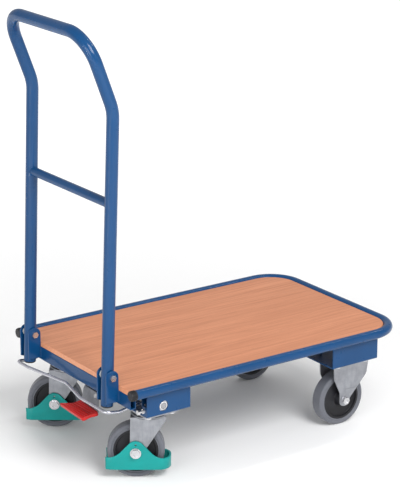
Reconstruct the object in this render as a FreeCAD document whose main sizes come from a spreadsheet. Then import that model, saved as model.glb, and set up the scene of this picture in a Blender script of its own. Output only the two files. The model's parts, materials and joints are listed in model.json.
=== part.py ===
"""Folding platform cart with a central brake, in millimetres.

X runs along the cart with the handle end at -X, Y across it, Z up from the floor.
The origin is the centre of the cart's bounding box, on the floor.
Left and right are seen by someone pushing: right is -Y.
"""
import FreeCAD, Part
import math
import os
import re

import Sketcher

Vector = FreeCAD.Vector
Rotation = FreeCAD.Rotation
Placement = FreeCAD.Placement

doc = FreeCAD.newDocument("platform_cart")
sheet = doc.addObject("Spreadsheet::Sheet", "sizes")

# ---------------------------------------------------------------- driving dimensions
SIZES = {
    # tube frame and deck
    "tube_radius": 11.0,
    "tube_wall": 2.0,
    "tube_half_span": 235.5,
    "tube_axis_z": 223.7,
    "far_tube_x": 395.0,
    "frame_end_x": -332.0,
    "frame_corner": 75.0,
    "plug_length": 14.0,
    "deck_top": 230.5,
    "deck_thickness": 12.0,
    "deck_end_x": -339.0,
    "deck_gap": 0.2,
    "crossbar_depth": 15.0,
    "crossbar_height": 31.0,
    "crossbar_wall": 2.0,
    "strap_width": 40.0,
    "strap_reach": 225.5,
    "strap_near_x": -60.0,
    "strap_middle_x": 60.0,
    "strap_far_x": 176.0,
    "screw_radius": 2.5,
    "screw_bite": 9.0,
    "gauge": 3.0,
    # folding handle
    "pivot_x": -354.5,
    "pivot_z": 250.0,
    "post_radius": 13.5,
    "post_wall": 2.0,
    "post_half_span": 162.0,
    "post_below": 66.0,
    "post_plug": 4.0,
    "handle_lean": 2.28,
    "elbow_height": 572.5,
    "elbow_turn": 22.9,
    "elbow_bend": 90.0,
    "grip_reach": 172.6,
    "grip_corner": 66.0,
    "rung_height": 374.5,
    "rung_radius": 10.0,
    "ear_radius": 15.5,
    "ear_inner": 15.5,
    "ear_sheet": 4.0,
    "ear_foot": 57.0,
    "pivot_bolt": 4.0,
    "press_gap": 0.02,
    "sliding_gap": 0.05,
    "running_gap": 0.06,
    "bolt_gap": 0.25,
    "bolt_flats": 13.0,
    "bolt_head": 5.3,
    # latch bail
    "wire_radius": 3.5,
    "bail_pivot_x": -284.0,
    "bail_pivot_z": 180.0,
    "bail_front_x": -376.0,
    "bail_front_z": 178.2,
    "bail_half_span": 188.0,
    "bail_tail": 16.0,
    "bail_dish": 21.0,
    "lug_middle": 198.0,
    "lug_radius": 8.0,
    # castor brackets
    "bracket_face": 226.0,
    "bracket_inner": 117.0,
    "bracket_z": 159.0,
    "swivel_bracket_x": -296.5,
    "swivel_bracket_length": 111.0,
    "fixed_bracket_x": 205.0,
    "fixed_bracket_length": 129.0,
    "plate_long": 105.0,
    "plate_short": 85.0,
    "plate_bolt_long": 80.0,
    "plate_bolt_short": 60.0,
    "fixed_bolt_short": 68.0,
    "plate_bolt": 4.0,
    "stop_screw": 3.0,
    "stop_screw_y": 215.0,
    "stop_screw_z": 173.0,
    # castors
    "swivel_x": -254.0,
    "castor_y": 170.0,
    "swivel_yaw": -35.0,
    "trail": 30.0,
    "fixed_axle_x": 264.0,
    "fixed_plate_x": 275.0,
    "wheel_radius": 62.5,
    "wheel_width": 32.0,
    "tyre_inner": 49.0,
    "fork_half": 27.0,
    "axle_radius": 6.0,
    "axle_head": 7.5,
    "axle_flange": 2.2,
    "axle_nut": 8.0,
    "swivel_axle_flats": 18.0,
    "swivel_axle_flange": 12.0,
    "fixed_axle_flats": 16.0,
    "fixed_axle_flange": 9.0,
    "sleeve_radius": 9.0,
    "king_radius": 6.5,
    "king_bore": 4.06,
    "head_radius": 37.0,
    "crown_top": 144.0,
    "race_low": 148.0,
    "guard_half_length": 76.0,
    "guard_wall": 4.0,
    "guard_low": 23.5,
    "guard_lobe": 49.0,
    "guard_peak": 99.0,
    # brake
    "shaft_z": 178.5,
    "shaft_flats": 12.0,
    "cam_radius": 12.0,
    "cam_offset": 9.8,
    "plunger_radius": 4.0,
    "plunger_foot": 124.2,
    "plunger_top": 166.2,
    "plunger_cap": 3.0,
    "pedal_rear_x": -352.0,
    "pedal_rear_z": 158.0,
    "pedal_slope": 18.4,
    "pedal_thickness": 7.98,
    "pedal_screw_near": -96.0,
    "pedal_screw_far": -62.0,
    "lever_bolt_x": -336.62,
    "lever_bolt_y": -88.0,
    "lever_bolt_z": 174.0,
    "lever_bolt_slope": -60.6,
}
for row, (alias, value) in enumerate(SIZES.items(), start=1):
    sheet.set(f"A{row}", alias.replace("_", " "))
    sheet.set(f"B{row}", str(value))
    sheet.setAlias(f"B{row}", alias)
doc.recompute()

X_AXIS = Vector(1, 0, 0)
Y_AXIS = Vector(0, 1, 0)
Z_AXIS = Vector(0, 0, 1)
parts = []


# ---------------------------------------------------------------- helpers
def expression(text):
    """Give every alias in a formula its sheet, so that objects can use it."""
    return re.sub("[a-z_]+", lambda m: f"sizes.{m[0]}" if m[0] in SIZES else m[0], str(text))


def number(text):
    """The present value of a formula."""
    return float(sheet.evalExpression(expression(text)))


def bind(obj, **formulas):
    for name, text in formulas.items():
        obj.setExpression(name, expression(text))


def move(obj, x="0", y="0", z="0", axis=Z_AXIS, angle=0.0):
    """Turn an object about an axis through the origin, then place it at bound coordinates."""
    obj.Placement = Placement(Vector(number(x), number(y), number(z)), Rotation(axis, angle))
    for name, text in (("x", x), ("y", y), ("z", z)):
        obj.setExpression(f"Placement.Base.{name}", expression(text))
    return obj


def keep(obj, label):
    """Mark an object as a finished sub-part under the name of its file."""
    obj.Label = label
    parts.append(obj)
    return obj


def add(kind, name, **formulas):
    obj = doc.addObject(kind, name)
    bind(obj, **formulas)
    return obj


TURN = {"x": (Y_AXIS, 90), "y": (X_AXIS, -90), "z": (Z_AXIS, 0)}


def rod(name, radius, length, x="0", y="0", z="0", along="z"):
    """A cylinder that starts at (x, y, z) and runs along +X, +Y or +Z."""
    obj = add("Part::Cylinder", name, Radius=radius, Height=length)
    axis, angle = TURN[along]
    return move(obj, x, y, z, axis, angle)


def block(name, x, y, z, length, width, height):
    """A box from its lowest corner."""
    obj = add("Part::Box", name, Length=length, Width=width, Height=height)
    return move(obj, x, y, z)


def hexagon(name, flats, length, x="0", y="0", z="0", along="z"):
    """A hexagonal bar that starts at (x, y, z), sized across its flats."""
    obj = add("Part::Prism", name, Circumradius=f"({flats}) / sqrt(3)", Height=length)
    obj.Polygon = 6
    axis, angle = TURN[along]
    return move(obj, x, y, z, axis, angle)


def fuse(name, *shapes):
    obj = doc.addObject("Part::MultiFuse", name)
    obj.Shapes = list(shapes)
    obj.Refine = True
    return obj


def cut(name, base, *tools):
    obj = doc.addObject("Part::Cut", name)
    obj.Base = base
    obj.Tool = tools[0] if len(tools) == 1 else fuse(name + "_tools", *tools)
    obj.Refine = True
    return obj


def group(name, *shapes):
    """Separate solids that share one file."""
    obj = doc.addObject("Part::Compound", name)
    obj.Links = list(shapes)
    return obj


def new_body(name):
    return doc.addObject("PartDesign::Body", name)


def new_sketch(body, plane, offset="0"):
    """A sketch on one of the body's own origin planes, moved along the plane's normal."""
    sketch = body.newObject("Sketcher::SketchObject", body.Name + "_sketch")
    support = [f for f in body.Origin.OriginFeatures if f.Role == plane + "_Plane"][0]
    sketch.AttachmentSupport = [(support, "")]
    sketch.MapMode = "FlatFace"
    sketch.setExpression("AttachmentOffset.Base.z", expression(offset))
    return sketch


def pin_point(sketch, geometry, point, x, y):
    for kind, text in (("DistanceX", x), ("DistanceY", y)):
        index = sketch.addConstraint(Sketcher.Constraint(kind, -1, 1, geometry, point, number(text)))
        sketch.setExpression(f"Constraints[{index}]", expression(text))


def hole(sketch, x, y, radius):
    """A circle bound by its centre and radius."""
    centre = Vector(number(x), number(y), 0)
    geometry = sketch.addGeometry(Part.Circle(centre, Z_AXIS, number(radius)), False)
    pin_point(sketch, geometry, 3, x, y)
    index = sketch.addConstraint(Sketcher.Constraint("Radius", geometry, number(radius)))
    sketch.setExpression(f"Constraints[{index}]", expression(radius))


def outline(sketch, corners):
    """A closed outline through corners (x, y) or (x, y, radius), each one a formula."""
    corners = [tuple(c) + ("0",) * (3 - len(c)) for c in corners]
    points = [Vector(number(c[0]), number(c[1]), 0) for c in corners]
    radii = [number(c[2]) for c in corners]
    count = len(corners)
    ends = []
    for i, point in enumerate(points):
        back = (points[i - 1] - point).normalize()
        ahead = (points[(i + 1) % count] - point).normalize()
        half_angle = back.getAngle(ahead) / 2
        reach = radii[i] / math.tan(half_angle) if radii[i] else 0.0
        middle = None
        if radii[i]:
            bisector = (back + ahead).normalize()
            middle = point + bisector * (radii[i] / math.sin(half_angle) - radii[i])
        ends.append((point + back * reach, middle, point + ahead * reach))
    lines = []
    for i in range(count):
        start, stop = ends[i][2], ends[(i + 1) % count][0]
        lines.append(sketch.addGeometry(Part.LineSegment(start, stop), False))
    for i, (x, y, radius) in enumerate(corners):
        before, after = lines[i - 1], lines[i]
        if not radii[i]:
            sketch.addConstraint(Sketcher.Constraint("Coincident", before, 2, after, 1))
            pin_point(sketch, after, 1, x, y)
            continue
        corner = sketch.addGeometry(Part.Point(points[i]), True)
        pin_point(sketch, corner, 1, x, y)
        sketch.addConstraint(Sketcher.Constraint("PointOnObject", corner, 1, before))
        sketch.addConstraint(Sketcher.Constraint("PointOnObject", corner, 1, after))
        arc = sketch.addGeometry(Part.Arc(*ends[i]), False)
        turns_left = (points[i] - points[i - 1]).cross(points[(i + 1) % count] - points[i]).z > 0
        first, last = (1, 2) if turns_left else (2, 1)
        sketch.addConstraint(Sketcher.Constraint("Tangent", before, 2, arc, first))
        sketch.addConstraint(Sketcher.Constraint("Tangent", arc, last, after, 1))
        index = sketch.addConstraint(Sketcher.Constraint("Radius", arc, radii[i]))
        sketch.setExpression(f"Constraints[{index}]", expression(radius))


def pad(body, sketch, length, both_ways=False):
    feature = body.newObject("PartDesign::Pad", body.Name + "_pad")
    feature.Profile = sketch
    feature.setExpression("Length", expression(length))
    feature.Midplane = both_ways
    sketch.Visibility = False
    return feature


def revolve(body, sketch, axis="V_Axis"):
    feature = body.newObject("PartDesign::Revolution", body.Name + "_revolution")
    feature.Profile = sketch
    feature.ReferenceAxis = (sketch, [axis])
    feature.Angle = 360
    return feature


def flat_plate(name, plane, offset, thickness, corners, holes=()):
    """A plate from its outline, padded along the plane's normal from an offset."""
    body = new_body(name)
    sketch = new_sketch(body, plane, offset)
    outline(sketch, corners)
    for x, y, radius in holes:
        hole(sketch, x, y, radius)
    pad(body, sketch, thickness)
    return body


def turned(name, corners):
    """A ring or disc about the body's Z axis, from its half section (radius, height)."""
    body = new_body(name)
    sketch = new_sketch(body, "XZ")
    outline(sketch, corners)
    revolve(body, sketch)
    return body


def bent_path(name, corners, bends):
    """A line of straight runs joined by tangent arcs, through corners in space."""
    edges = []
    start = corners[0]
    for i, bend in enumerate(bends, start=1):
        back = (corners[i - 1] - corners[i]).normalize()
        ahead = (corners[i + 1] - corners[i]).normalize()
        half_angle = back.getAngle(ahead) / 2
        reach = bend / math.tan(half_angle)
        enter = corners[i] + back * reach
        leave = corners[i] + ahead * reach
        middle = corners[i] + (back + ahead).normalize() * (bend / math.sin(half_angle) - bend)
        edges.append(Part.LineSegment(start, enter).toShape())
        edges.append(Part.Arc(enter, middle, leave).toShape())
        start = leave
    edges.append(Part.LineSegment(start, corners[-1]).toShape())
    path = doc.addObject("Part::Feature", name)
    path.Shape = Part.Wire(edges)
    return path


def swept_rod(name, path, radius):
    """A round bar along a path, with its radius bound."""
    section = add("Part::Circle", name + "_section", Radius=radius)
    edge = path.Shape.Edges[0]
    first = edge.valueAt(edge.FirstParameter)
    ahead = edge.tangentAt(edge.FirstParameter)
    section.Placement = Placement(first, Rotation(Z_AXIS, ahead))
    sweep = doc.addObject("Part::Sweep", name)
    sweep.Sections = [section]
    sweep.Spine = (path, [f"Edge{i + 1}" for i in range(len(path.Shape.Edges))])
    sweep.Solid = True
    return sweep


def both_sides(build):
    """Build a piece on the right (-Y) and on the left (+Y)."""
    for side, sign in (("right", "-1"), ("left", "1")):
        build(side, sign)


# ---------------------------------------------------------------- frame and deck
def build_frame_tube():
    """One tube bent round both long sides and the far end, open at the handle end."""
    end_x, far_x = number("frame_end_x"), number("far_tube_x")
    side, height, bend = number("tube_half_span"), number("tube_axis_z"), number("frame_corner")
    corners = [Vector(end_x, -side, height), Vector(far_x, -side, height),
               Vector(far_x, side, height), Vector(end_x, side, height)]
    path = bent_path("frame_path", corners, [bend, bend])
    outside = swept_rod("frame_outside", path, "tube_radius")
    bore = swept_rod("frame_bore", path, "tube_radius - tube_wall")
    keep(cut("frame", outside, bore), "frame_tube")


def build_end_plugs():
    """Ribbed black plugs with a spigot inside each open tube end."""
    plugs = []
    for sign in ("-1", "1"):
        middle = f"{sign} * tube_half_span"
        body = turned(f"end_plug_{len(plugs)}", [
            ("0", "0", "0"), ("tube_radius", "0", "2"), ("tube_radius", "plug_length"),
            ("tube_radius - tube_wall", "plug_length"),
            ("tube_radius - tube_wall", "plug_length + 16", "1"), ("0", "plug_length + 16")])
        plugs.append(move(body, "frame_end_x - plug_length", middle, "tube_axis_z", Y_AXIS, 90))
    keep(group("end_plug_pair", *plugs), "end_plugs")


def build_crossbar():
    """Rectangular tube that closes the frame under the handle end of the deck."""
    length = "2 * tube_half_span - 2 * tube_radius - 0.4"
    bottom = "deck_top - deck_thickness - crossbar_height"
    outside = block("crossbar_outside", "deck_end_x", f"-({length}) / 2", bottom,
                    "crossbar_depth", length, "crossbar_height")
    inside = block("crossbar_inside", "deck_end_x + crossbar_wall", f"-({length}) / 2 - 1",
                   f"{bottom} + crossbar_wall", "crossbar_depth - 2 * crossbar_wall",
                   f"{length} + 2", "crossbar_height - 2 * crossbar_wall")
    outside_round = add("Part::Fillet", "crossbar_round")
    outside_round.Base = outside
    doc.recompute()
    along = [i + 1 for i, e in enumerate(outside.Shape.Edges) if abs(e.tangentAt(0).y) > 0.9]
    outside_round.Edges = [(i, 2.0, 2.0) for i in along]
    keep(cut("crossbar_tube", outside_round, inside), "crossbar")


STRAPS = ("strap_near_x", "strap_middle_x", "strap_far_x")


def screw_places():
    """Where screws go up into the deck: the straps' ends and the castor brackets' flanges."""
    places = [(x, f"{sign} * {y}") for x in STRAPS for sign in ("-1", "1") for y in ("60", "160")]
    for sign in ("-1", "1"):
        places.append(("swivel_bracket_x + 95", f"{sign} * 150"))
        places.append(("fixed_bracket_x + fixed_bracket_length - 12", f"{sign} * 150"))
    return places


def screw_holes(name, base, places):
    """Clearance holes for the deck screws, straight up through a piece."""
    tools = [rod(f"{name}_hole_{i}", "screw_radius + sliding_gap", "40", x, y, "deck_top - 45")
             for i, (x, y) in enumerate(places)]
    return cut(name, base, *tools)


def build_straps():
    """Flat straps under the deck, welded to the side tubes."""
    bars = []
    for x in STRAPS:
        name = f"strap_{len(bars)}"
        bar = block(name, f"{x} - strap_width / 2", "-strap_reach",
                    "deck_top - deck_thickness - gauge", "strap_width", "2 * strap_reach", "gauge")
        places = [place for place in screw_places() if place[0] == x]
        bars.append(screw_holes(name + "_cut", bar, places))
    keep(group("strap_set", *bars), "deck_straps")


def build_deck():
    edge = "tube_half_span - tube_radius - deck_gap"
    far = "far_tube_x - tube_radius - deck_gap"
    corner = "frame_corner - tube_radius - deck_gap"
    board = flat_plate("deck", "XY", "deck_top - deck_thickness", "deck_thickness", [
        ("deck_end_x", f"-({edge})"), (far, f"-({edge})", corner),
        (far, edge, corner), ("deck_end_x", edge)])
    sketch = new_sketch(board, "XY", "deck_top - deck_thickness")
    for x, y in screw_places():
        hole(sketch, x, y, "screw_radius")
    doc.recompute()
    before = board.Shape.Volume
    pilot = board.newObject("PartDesign::Pocket", "deck_pilot_holes")
    pilot.Profile = sketch
    pilot.Reversed = True
    pilot.setExpression("Length", expression("screw_bite"))
    doc.recompute()
    if board.Shape.Volume >= before:
        raise RuntimeError("the deck's pilot holes cut nothing")
    keep(board, "deck_board")

    screws = []
    for x, y in screw_places():
        bottom = "deck_top - deck_thickness - gauge"
        name = f"deck_screw_{len(screws)}"
        shank = rod(name + "_shank", "screw_radius", "gauge + screw_bite", x, y, bottom)
        head = rod(name + "_head", "4.6", "2.4", x, y, f"{bottom} - 2.4")
        screws.append(fuse(name, shank, head))
    keep(group("deck_screw_set", *screws), "deck_screws")


# ---------------------------------------------------------------- castor brackets
def bracket_section(name, sign, length, x):
    """A folded channel: web outside, a flange up under the deck, a flange down for the castor."""
    body = new_body(name)
    sketch = new_sketch(body, "YZ")
    top = "deck_top - deck_thickness"
    outline(sketch, [
        (f"{sign} * bracket_inner", top), (f"{sign} * bracket_face", top, "4"),
        (f"{sign} * bracket_face", "bracket_z", "4"), (f"{sign} * bracket_inner", "bracket_z"),
        (f"{sign} * bracket_inner", "bracket_z + gauge"),
        (f"{sign} * (bracket_face - gauge)", "bracket_z + gauge", "1"),
        (f"{sign} * (bracket_face - gauge)", f"{top} - gauge", "1"),
        (f"{sign} * bracket_inner", f"{top} - gauge")])
    pad(body, sketch, length)
    return move(body, x, "0", "0")


def plate_bolt_places(x, sign, along_x, along_y):
    """The four bolts of a castor plate."""
    return [(f"{x} + {i} * {along_x} / 2", f"{sign} * castor_y + {j} * {along_y} / 2")
            for i in (-1, 1) for j in (-1, 1)]


def swivel_bolts(sign):
    return plate_bolt_places("swivel_x", sign, "plate_bolt_short", "plate_bolt_long")


def fixed_bolts(sign):
    return plate_bolt_places("fixed_plate_x", sign, "plate_bolt_long", "fixed_bolt_short")


def bolt_holes(name, places):
    return [rod(f"{name}_bolt_{i}", "plate_bolt + bolt_gap", "20", x, y, "bracket_z - 10")
            for i, (x, y) in enumerate(places)]


def build_brackets(side, sign):
    name = f"swivel_bracket_{side}"
    blank = bracket_section(name + "_fold", sign, "swivel_bracket_length", "swivel_bracket_x")
    tools = bolt_holes(name, swivel_bolts(sign))
    tools.append(rod(name + "_stem", "15", "20", "swivel_x",
                     f"{sign} * castor_y", "bracket_z - 10"))
    tools.append(rod(name + "_shaft", "11.5", "10", "swivel_x",
                     f"{sign} * bracket_face - 5", "shaft_z", "y"))
    tools.append(rod(name + "_screw", "screw_radius + sliding_gap", "20", "swivel_bracket_x + 95",
                     f"{sign} * 150", "deck_top - deck_thickness - 10"))
    tools.append(rod(name + "_stop", "stop_screw + sliding_gap", "10", "swivel_bracket_x - 3",
                     f"{sign} * stop_screw_y", "stop_screw_z", "x"))
    tab = block(name + "_tab", "swivel_bracket_x", f"{sign} * stop_screw_y - 8", "bracket_z + 1",
                "gauge", "16", "stop_screw_z + 8 - bracket_z")
    keep(cut(name + "_cut", fuse(name + "_blank", blank, tab), *tools), name)

    name = f"fixed_bracket_{side}"
    blank = bracket_section(name + "_fold", sign, "fixed_bracket_length", "fixed_bracket_x")
    tools = bolt_holes(name, fixed_bolts(sign))
    tools.append(rod(name + "_screw", "screw_radius + sliding_gap", "20",
                     "fixed_bracket_x + fixed_bracket_length - 12",
                     f"{sign} * 150", "deck_top - deck_thickness - 10"))
    keep(cut(name + "_cut", blank, *tools), name)


def build_castor_bolts():
    """Hexagon bolts up through plate and bracket, with the nuts inside the bracket."""
    bolts, nuts = [], []
    for sign in ("-1", "1"):
        for x, y in swivel_bolts(sign) + fixed_bolts(sign):
            name = f"castor_bolt_{len(bolts)}"
            head = hexagon(name + "_head", "bolt_flats", "bolt_head", x, y,
                           "bracket_z - gauge - bolt_head")
            shank = rod(name + "_shank", "plate_bolt", "18.4", x, y, "bracket_z - gauge - 0.1")
            bolts.append(fuse(name, head, shank))
            nut = hexagon(name + "_nut", "bolt_flats", "6.5", x, y, "bracket_z + gauge")
            bore = rod(name + "_nut_bore", "plate_bolt + press_gap", "10", x, y, "bracket_z + gauge - 1")
            nuts.append(cut(name + "_nut_cut", nut, bore))
    keep(group("castor_bolt_set", *bolts), "castor_bolts")
    keep(group("castor_nut_set", *nuts), "castor_nuts")


def build_stop_screws():
    """Hexagon screw with a lock nut, through the tab in each swivel bracket's open end."""
    pieces = []
    for i, sign in enumerate(("-1", "1")):
        y = f"{sign} * stop_screw_y"
        start = "swivel_bracket_x - 14"
        shank = rod(f"stop_screw_shank_{i}", "stop_screw", "19", start, y, "stop_screw_z", "x")
        head = hexagon(f"stop_screw_head_{i}", "10", "4", f"{start} - 4", y, "stop_screw_z", "x")
        pieces.append(fuse(f"stop_screw_{i}", shank, head))
        nut = hexagon(f"stop_nut_{i}", "10", "5", "swivel_bracket_x - 5", y, "stop_screw_z", "x")
        bore = rod(f"stop_nut_bore_{i}", "stop_screw + press_gap", "7", "swivel_bracket_x - 6", y,
                   "stop_screw_z", "x")
        pieces.append(cut(f"stop_nut_cut_{i}", nut, bore))
    keep(group("stop_screw_set", *pieces), "stop_screws")


# ---------------------------------------------------------------- hinges and handle
def build_hinge(side, sign):
    """A U bracket on the crossbar: two ears with round tops, joined behind the post's foot."""
    name = f"hinge_bracket_{side}"
    middle = f"{sign} * post_half_span"
    wide = "(ear_inner + ear_sheet)"
    foot = "pivot_z - ear_foot"
    ears = []
    for i, inner in enumerate((f"{middle} - {wide}", f"{middle} + ear_inner")):
        plate = block(f"{name}_ear_{i}", "pivot_x - ear_radius", inner, foot,
                      "2 * ear_radius", "ear_sheet", "ear_foot")
        crown = rod(f"{name}_crown_{i}", "ear_radius", "ear_sheet", "pivot_x", inner, "pivot_z", "y")
        ears += [plate, crown]
    web = block(name + "_web", "deck_end_x - 1.5", f"{middle} - {wide}", foot,
                "1.5", f"2 * ({wide})", "24")
    bore = rod(name + "_bore", "pivot_bolt + sliding_gap", f"2 * ({wide}) + 2", "pivot_x",
               f"{middle} - {wide} - 1", "pivot_z", "y")
    keep(cut(name + "_cut", fuse(name + "_blank", web, *ears), bore), name)


def build_pivot_bolts():
    """One bolt through each hinge: head outside on the right of each post, lock nut on its left."""
    bolts, nuts, washers = [], [], []
    wide = "(ear_inner + ear_sheet)"
    for sign in ("-1", "1"):
        middle = f"{sign} * post_half_span"
        name = f"pivot_bolt_{len(bolts)}"
        shank = rod(name + "_shank", "pivot_bolt", f"2 * ({wide}) + 10", "pivot_x",
                    f"{middle} - {wide}", "pivot_z", "y")
        head = hexagon(name + "_head", "bolt_flats", "bolt_head", "pivot_x",
                       f"{middle} - {wide} - bolt_head", "pivot_z", "y")
        bolts.append(fuse(name, shank, head))
        nut = hexagon(name + "_nut", "bolt_flats", "8", "pivot_x", f"{middle} + {wide}", "pivot_z", "y")
        bore = rod(name + "_nut_bore", "pivot_bolt + press_gap", "12", "pivot_x",
                   f"{middle} + {wide} - 1", "pivot_z", "y")
        nuts.append(cut(name + "_nut_cut", nut, bore))
        for start in (f"{middle} - ear_inner", f"{middle} + post_radius + 0.1"):
            ring = rod(f"washer_{len(washers)}", "10", "1.9", "pivot_x", start, "pivot_z", "y")
            inner = rod(f"washer_bore_{len(washers)}", "pivot_bolt + sliding_gap", "4", "pivot_x",
                        f"{start} - 1", "pivot_z", "y")
            washers.append(cut(f"washer_cut_{len(washers)}", ring, inner))
    keep(group("pivot_bolt_set", *bolts), "pivot_bolts")
    keep(group("pivot_nut_set", *nuts), "pivot_nuts")
    keep(group("washer_set", *washers), "pivot_washers")


def lean(obj):
    """Stand a piece of the handle, drawn about its pivot, on the hinge at its resting angle."""
    return move(obj, "pivot_x", "0", "pivot_z", Y_AXIS, number("handle_lean"))


def build_handle():
    """Two posts bent outward at the top and joined by the grip, as one bent tube."""
    side, rise = number("post_half_span"), number("elbow_height")
    turn = math.radians(number("elbow_turn"))
    out, up = -math.sin(turn), math.cos(turn)
    reach = number("grip_reach")
    grip_x, grip_z = out * reach, rise + up * reach
    corners = [Vector(0, -side, -number("post_below")), Vector(0, -side, rise),
               Vector(grip_x, -side, grip_z), Vector(grip_x, side, grip_z),
               Vector(0, side, rise), Vector(0, side, -number("post_below"))]
    elbow, corner = number("elbow_bend"), number("grip_corner")
    path = bent_path("handle_path", corners, [elbow, corner, corner, elbow])
    outside = swept_rod("handle_outside", path, "post_radius")
    bore = swept_rod("handle_bore", path, "post_radius - post_wall")
    hinge_bore = rod("handle_hinge_bore", "pivot_bolt + running_gap", "2 * post_half_span + 60",
                     "0", "-post_half_span - 30", "0", "y")
    tube = cut("handle", outside, bore, hinge_bore)
    keep(lean(tube), "handle_tube")

    bar = rod("rung_bar", "rung_radius", "2 * post_half_span", "0", "-post_half_span",
              "rung_height", "y")
    inner = rod("rung_bore", "rung_radius - post_wall", "2 * post_half_span + 2", "0",
                "-post_half_span - 1", "rung_height", "y")
    posts = [rod(f"rung_cope_{i}", "post_radius + 0.01", "60", "0", f"{sign} * post_half_span",
                 "rung_height - 30") for i, sign in enumerate(("-1", "1"))]
    keep(lean(cut("rung", bar, inner, *posts)), "handle_rung")

    plugs, sleeves = [], []
    for sign in ("-1", "1"):
        middle = f"{sign} * post_half_span"
        plug = turned(f"post_plug_{len(plugs)}", [
            ("0", "-post_below - post_plug"), ("post_radius", "-post_below - post_plug", "3.5"),
            ("post_radius", "-post_below"), ("post_radius - post_wall", "-post_below"),
            ("post_radius - post_wall", "-post_below + 18"), ("0", "-post_below + 18")])
        plugs.append(move(plug, "0", middle, "0"))
        name = f"pivot_sleeve_{len(sleeves)}"
        sleeve = rod(name, "7", "18.2", "0", f"{middle} - 9.1", "0", "y")
        bore = rod(name + "_bore", "pivot_bolt + running_gap", "20", "0", f"{middle} - 10", "0", "y")
        sleeves.append(cut(name + "_cut", sleeve, bore))
    keep(lean(group("post_plug_set", *plugs)), "post_plugs")
    keep(lean(group("pivot_sleeve_set", *sleeves)), "pivot_sleeves")


# ---------------------------------------------------------------- latch bail
def build_bail():
    """Wire in front of the post feet, its ends turned out into the lugs behind the crossbar."""
    side, front = number("bail_half_span"), number("bail_front_x")
    low, tail = number("bail_front_z"), number("bail_tail")
    hinge_x, hinge_z = number("bail_pivot_x"), number("bail_pivot_z")
    inward = front + number("bail_dish")
    corners = [Vector(hinge_x, -side - tail, hinge_z), Vector(hinge_x, -side, hinge_z),
               Vector(hinge_x - 38, -side, hinge_z - 3), Vector(hinge_x - 58, -side, hinge_z - 7),
               Vector(front, -side, low), Vector(front, -85, low), Vector(inward, 8, low),
               Vector(front, 140, low), Vector(front, side, low),
               Vector(hinge_x - 58, side, hinge_z - 7), Vector(hinge_x - 38, side, hinge_z - 3),
               Vector(hinge_x, side, hinge_z), Vector(hinge_x, side + tail, hinge_z)]
    path = bent_path("bail_path", corners, [8, 25, 25, 12, 60, 60, 60, 12, 25, 25, 8])
    keep(swept_rod("bail", path, "wire_radius"), "latch_bail")

    lugs = []
    for sign in ("-1", "1"):
        start = f"{sign} * lug_middle - gauge / 2"
        top = "deck_top - deck_thickness - gauge"
        name = f"bail_lug_{len(lugs)}"
        tab = block(name, "bail_pivot_x - lug_radius", start, "bail_pivot_z", "2 * lug_radius", "gauge",
                    f"{top} - bail_pivot_z")
        end = rod(name + "_end", "lug_radius", "gauge", "bail_pivot_x", start, "bail_pivot_z", "y")
        bore = rod(name + "_bore", "wire_radius + running_gap", "8", "bail_pivot_x",
                   f"{start} - 2", "bail_pivot_z", "y")
        lugs.append(cut(name + "_cut", fuse(name + "_blank", tab, end), bore))
    keep(group("bail_lug_set", *lugs), "bail_lugs")


# ---------------------------------------------------------------- castors
def tyre(name):
    return turned(name, [
        ("tyre_inner", "-14.5"), ("tyre_inner + 3", "-14.5"), ("tyre_inner + 4.5", "-wheel_width / 2"),
        ("wheel_radius - 4", "-wheel_width / 2", "2"),
        ("wheel_radius", "-wheel_width / 2 + 3.5", "3"),
        ("wheel_radius", "wheel_width / 2 - 3.5", "3"),
        ("wheel_radius - 4", "wheel_width / 2", "2"),
        ("tyre_inner + 4.5", "wheel_width / 2"), ("tyre_inner + 3", "14.5"), ("tyre_inner", "14.5")])


def hub(name):
    """Rim, dished web and boss of one wheel, bored for its sleeve."""
    rim = "tyre_inner - 5"
    return turned(name, [
        ("sleeve_radius + running_gap", "-23"), ("15", "-23", "1"), ("17", "-10", "2"),
        (f"{rim} - 1", "-9", "2"), (rim, "-14.5"), ("tyre_inner", "-14.5"),
        ("tyre_inner", "14.5"), (rim, "14.5"), (f"{rim} - 1", "9", "2"),
        ("17", "10", "2"), ("15", "23", "1"), ("sleeve_radius + running_gap", "23")])


def stand_wheel(label, shape, sign, swivels):
    """Lay a wheel piece's axis along Y and put it on its castor's axle."""
    if not swivels:
        move(shape, "fixed_axle_x", f"{sign} * castor_y", "wheel_radius", X_AXIS, 90)
        return keep(shape, label)
    move(shape, "-trail", "0", "wheel_radius", X_AXIS, 90)
    return keep(swivel(group(label + "_turned", shape), sign), label)


def swivel(shape, sign):
    """Turn a piece drawn round the swivel axis to its castor's resting direction."""
    return move(shape, "swivel_x", f"{sign} * castor_y", "0", Z_AXIS, number("swivel_yaw"))


def axle_bolt(name, x, y, outer, flats, flange):
    """Flanged bolt through a wheel, its head on the right, with the nut as a second solid."""
    shank = rod(name + "_shank", "axle_radius", f"2 * ({outer}) + axle_nut + 1", x, f"{y} - ({outer})",
                "wheel_radius", "y")
    collar = rod(name + "_flange", flange, "axle_flange", x, f"{y} - ({outer}) - axle_flange",
                 "wheel_radius", "y")
    outside = f"{y} - ({outer}) - axle_head"
    hexagon_head = hexagon(name + "_hexagon", flats, "axle_head", x, outside, "wheel_radius", "y")
    dimple = rod(name + "_dimple", "4.5", "1.2", x, outside, "wheel_radius", "y")
    head = cut(name + "_head", hexagon_head, dimple)
    nut = hexagon(name + "_nut", flats, "axle_nut", x, f"{y} + ({outer})", "wheel_radius", "y")
    bore = rod(name + "_nut_bore", "axle_radius + press_gap", "12", x, f"{y} + ({outer}) - 1",
               "wheel_radius", "y")
    return fuse(name, shank, collar, head), cut(name + "_nut_cut", nut, bore)


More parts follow.
